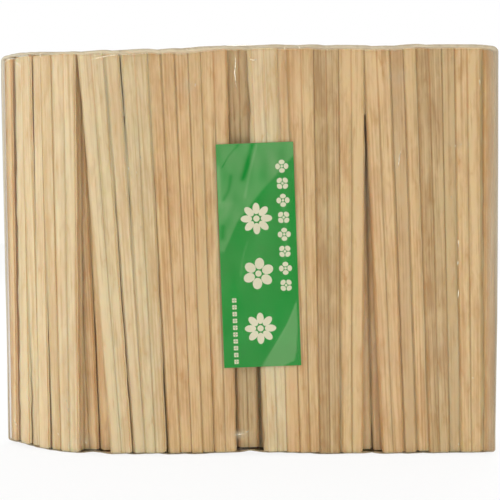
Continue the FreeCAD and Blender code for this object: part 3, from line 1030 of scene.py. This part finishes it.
def build_label(material, print_material):
    middle, across, up, width, height, thickness = label_frame()
    towards = np.array([0.0, -1.0, 0.0])
    columns, rows = LABEL_GRID
    verts, faces = [], []
    for layer in (1, -1):
        for j in range(rows + 1):
            for i in range(columns + 1):
                x, z = (i / columns - 0.5) * width, (j / rows - 0.5) * height
                verts.append(middle + across * x + up * z + towards * thickness / 2 * layer)
    wide = columns + 1
    back = wide * (rows + 1)
    for j in range(rows):
        for i in range(columns):
            a = j * wide + i
            faces.append((a, a + 1, a + wide + 1, a + wide))
            faces.append((back + a, back + a + wide, back + a + wide + 1, back + a + 1))
    rim = list(range(columns))
    rim += [j * wide + columns for j in range(rows)]
    rim += [rows * wide + i for i in range(columns, 0, -1)]
    rim += [j * wide for j in range(rows, 0, -1)]
    for a, b in zip(rim, rim[1:] + rim[:1]):
        faces.append((a, b, back + b, back + a))
    label = new_piece("label_paper", verts, faces, material)
    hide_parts("label")

    def film_cloud_and_sheen_of(points):
        return [
            film_cloud_and_sheen((p - middle) @ across + width / 2, height / 2 - (p - middle) @ up) for p in points
        ]

    attribute(label, "film_cloud_and_sheen", "FLOAT", film_cloud_and_sheen_of(verts))

    verts, faces = [], []
    lift = towards * (thickness / 2 + 0.00003)

    def shape(points):
        first = len(verts)
        verts.extend(middle + lift + across * x + up * z for x, z in points)
        faces.append(tuple(range(first, len(verts))))

    def petal(x, z, turn, start, length, breadth):
        """A pointed oval that begins a little way out from (x, z)."""
        points = []
        for i in range(16):
            angle = 2 * math.pi * i / 16
            out = start + length / 2 * (1 - math.cos(angle))
            side = breadth / 2 * math.sin(angle)
            points.append((
                x + out * math.cos(turn) - side * math.sin(turn),
                z + out * math.sin(turn) + side * math.cos(turn),
            ))
        shape(points)

    def flower(x, z, radius, petals, turn=0.0):
        heart = radius * 0.2
        for i in range(petals):
            angle = turn + 2 * math.pi * i / petals
            petal(x, z, angle, heart * 1.35, radius - heart * 1.35, radius * 3.6 / petals)
        shape([
            (x + heart * math.cos(a), z + heart * math.sin(a))
            for a in (2 * math.pi * i / 14 for i in range(14))
        ])

    top = height / 2
    for i, petals in enumerate((8, 6, 8)):
        flower(-0.0004, top - 0.039 - i * 0.0285, 0.0082, petals, 0.39 * i)
    for i in range(8):
        flower(0.0137, top - 0.0125 - i * 0.0088, 0.0034, 4, math.pi / 4 * (i % 2))
    for i in range(10):
        flower(-0.0135, top - 0.081 - i * 0.00355, 0.0014, 4, math.pi / 4)
    marks = new_piece("label_print", verts, faces, print_material)
    attribute(marks, "film_cloud_and_sheen", "FLOAT", film_cloud_and_sheen_of(verts))


def paper_material(name, colour, mottle):
    n = Nodes(name)
    place = n.node("ShaderNodeTexCoord").outputs["Object"]
    fibres = n.noise(place, 900.0, 4.0, 0.6)
    cloud = n.noise(place, 70.0, 2.0, 0.5)
    shade = n.math("ADD", n.math("MULTIPLY", fibres, 0.4), n.math("MULTIPLY", cloud, 0.6))
    tint = n.mix(n.span(shade, 0.3, 0.7), srgb(*colour), srgb(*mottle))
    # The film's haze and painted sheen over the label, painted into the paper as a pale green veil
    tint = n.mix(n.attribute("film_cloud_and_sheen"), tint, srgb(205, 226, 180))
    shader = n.node("ShaderNodeBsdfPrincipled")
    n.put(tint, shader.inputs["Base Color"])
    shader.inputs["Roughness"].default_value = 0.6
    shader.inputs["Specular IOR Level"].default_value = 0.15
    n.put(n.bump(fibres, 0.25, 0.00005), shader.inputs["Normal"])
    return n.finish(shader.outputs[0])


# ---- camera, light and floor


def add_camera():
    azimuth, elevation = CAMERA_AZIMUTH, CAMERA_ELEVATION
    look = Vector((
        -math.sin(azimuth) * math.cos(elevation),
        math.cos(azimuth) * math.cos(elevation),
        -math.sin(elevation),
    ))
    right = Vector((math.cos(azimuth), math.sin(azimuth), 0.0))
    above = right.cross(look)
    turned = right * math.cos(CAMERA_ROLL) + above * math.sin(CAMERA_ROLL)
    above = above * math.cos(CAMERA_ROLL) - right * math.sin(CAMERA_ROLL)
    camera = bpy.data.objects.new("camera", bpy.data.cameras.new("camera"))
    add_to_scene(camera)
    camera.data.lens = CAMERA_LENS
    camera.data.sensor_width = 36.0
    camera.data.clip_start = 0.01
    place = CAMERA_TARGET - look * CAMERA_DISTANCE
    axes = Matrix((turned, above, -look)).transposed().to_4x4()
    camera.matrix_world = Matrix.Translation(place) @ axes
    bpy.context.scene.camera = camera


def add_lamp(name, place, size, watts, target):
    data = bpy.data.lights.new(name, "AREA")
    data.shape = "RECTANGLE"
    data.size, data.size_y = size
    data.energy = watts
    lamp = bpy.data.objects.new(name, data)
    lamp.location = place
    aim = (Vector(target) - Vector(place)).to_track_quat("-Z", "Y")
    lamp.rotation_euler = aim.to_euler()
    lamp.visible_camera = False
    add_to_scene(lamp)


def add_light():
    bpy.context.scene.view_settings.view_transform = "Standard"
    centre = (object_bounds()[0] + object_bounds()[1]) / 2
    add_lamp("left_softbox", (-1.15, -0.6, 0.5), (0.8, 0.8), 4.8, centre)
    add_lamp("right_fill", (1.2, -0.6, 0.45), (0.8, 0.8), 5.0, centre)
    add_lamp("low_fill", (0.0, -0.3, 0.025), (0.34, 0.04), 0.11, (0.0, 0.0, 0.04))
    add_lamp("back_fill", (0.3, 1.2, 0.9), (1.0, 1.0), 9.0, centre)
    world = bpy.data.worlds.new("studio")
    bpy.context.scene.world = world
    world.use_nodes = True
    tree = world.node_tree
    tree.nodes.clear()
    link = tree.links.new
    rays = tree.nodes.new("ShaderNodeLightPath")
    seen = tree.nodes.new("ShaderNodeMath")
    seen.operation = "MAXIMUM"
    link(rays.outputs["Is Camera Ray"], seen.inputs[0])
    link(rays.outputs["Is Glossy Ray"], seen.inputs[1])
    lit = tree.nodes.new("ShaderNodeBackground")
    white = tree.nodes.new("ShaderNodeBackground")
    for background, strength in ((lit, WORLD_STRENGTH), (white, 1.0)):
        background.inputs["Color"].default_value = (1.0, 1.0, 1.0, 1.0)
        background.inputs["Strength"].default_value = strength
    mix = tree.nodes.new("ShaderNodeMixShader")
    link(seen.outputs[0], mix.inputs[0])
    link(lit.outputs[0], mix.inputs[1])
    link(white.outputs[0], mix.inputs[2])
    out = tree.nodes.new("ShaderNodeOutputWorld")
    link(mix.outputs[0], out.inputs["Surface"])


def add_floor():
    n = Nodes("floor")
    shader = n.node("ShaderNodeBsdfDiffuse")
    shader.inputs["Color"].default_value = (0.9, 0.9, 0.9, 1.0)
    white = n.node("ShaderNodeEmission")
    white.inputs["Strength"].default_value = 1.0
    rays = n.node("ShaderNodeLightPath")
    seen = n.math("MULTIPLY", rays.outputs["Is Camera Ray"], 0.85)
    material = n.finish(n.blend(seen, shader.outputs[0], white.outputs[0]))
    mesh = bpy.data.meshes.new("floor")
    signs = ((-1, -1), (1, -1), (1, 1), (-1, 1))
    mesh.from_pydata([(x * FLOOR_REACH, y * FLOOR_REACH, 0) for x, y in signs], [], [(0, 1, 2, 3)])
    mesh.materials.append(material)
    floor = bpy.data.objects.new("floor", mesh)
    floor.location.z = -FLOOR_DROP
    add_to_scene(floor)


# ---- the whole


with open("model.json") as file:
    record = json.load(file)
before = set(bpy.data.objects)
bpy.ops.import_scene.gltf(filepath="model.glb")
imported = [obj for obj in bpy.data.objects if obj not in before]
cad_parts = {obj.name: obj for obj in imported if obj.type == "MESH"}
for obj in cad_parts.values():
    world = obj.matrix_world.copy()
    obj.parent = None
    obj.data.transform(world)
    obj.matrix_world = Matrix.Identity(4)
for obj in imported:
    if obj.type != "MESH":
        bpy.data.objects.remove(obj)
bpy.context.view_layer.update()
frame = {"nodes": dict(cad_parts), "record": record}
random_draws = random.Random(SEED)

slots = {part["node"]: part["material_slot"] for part in frame["record"]["subparts"]}
# The last colour of each wood is the darker brown of the painted shade at its edges and gaps
woods = {
    "wood_pale": wood_material(
        "wood_pale",
        pale=(236, 217, 180), deep=(210, 184, 140), rosy=(228, 199, 162),
        olive=(216, 202, 154), amber=(214, 176, 122), shade_brown=(218, 176, 124),
    ),
    "wood_straw": wood_material(
        "wood_straw",
        pale=(233, 205, 160), deep=(198, 159, 110), rosy=(219, 181, 140),
        olive=(207, 185, 132), amber=(206, 158, 100), shade_brown=(200, 144, 86),
    ),
    "wood_tan": wood_material(
        "wood_tan",
        pale=(220, 195, 152), deep=(182, 149, 104), rosy=(203, 168, 127),
        olive=(191, 172, 124), amber=(190, 146, 92), shade_brown=(192, 138, 82),
    ),
}
sticks = [
    dress_wood(node, slots[node], woods[slots[node]], random_draws)
    for node in sorted(frame["nodes"])
    if slots[node] in WOOD_SLOTS
]

clear_film = film_material()
film_skin = build_film(clear_film, sticks)
build_lap(clear_film, film_skin)
build_creases(crease_glint_material(), film_skin, random_draws)
build_label(
    paper_material("label_green", (8, 140, 46), (14, 150, 54)),
    paper_material("label_cream", (232, 226, 200), (222, 216, 190)),
)
add_camera()
add_light()
add_floor()
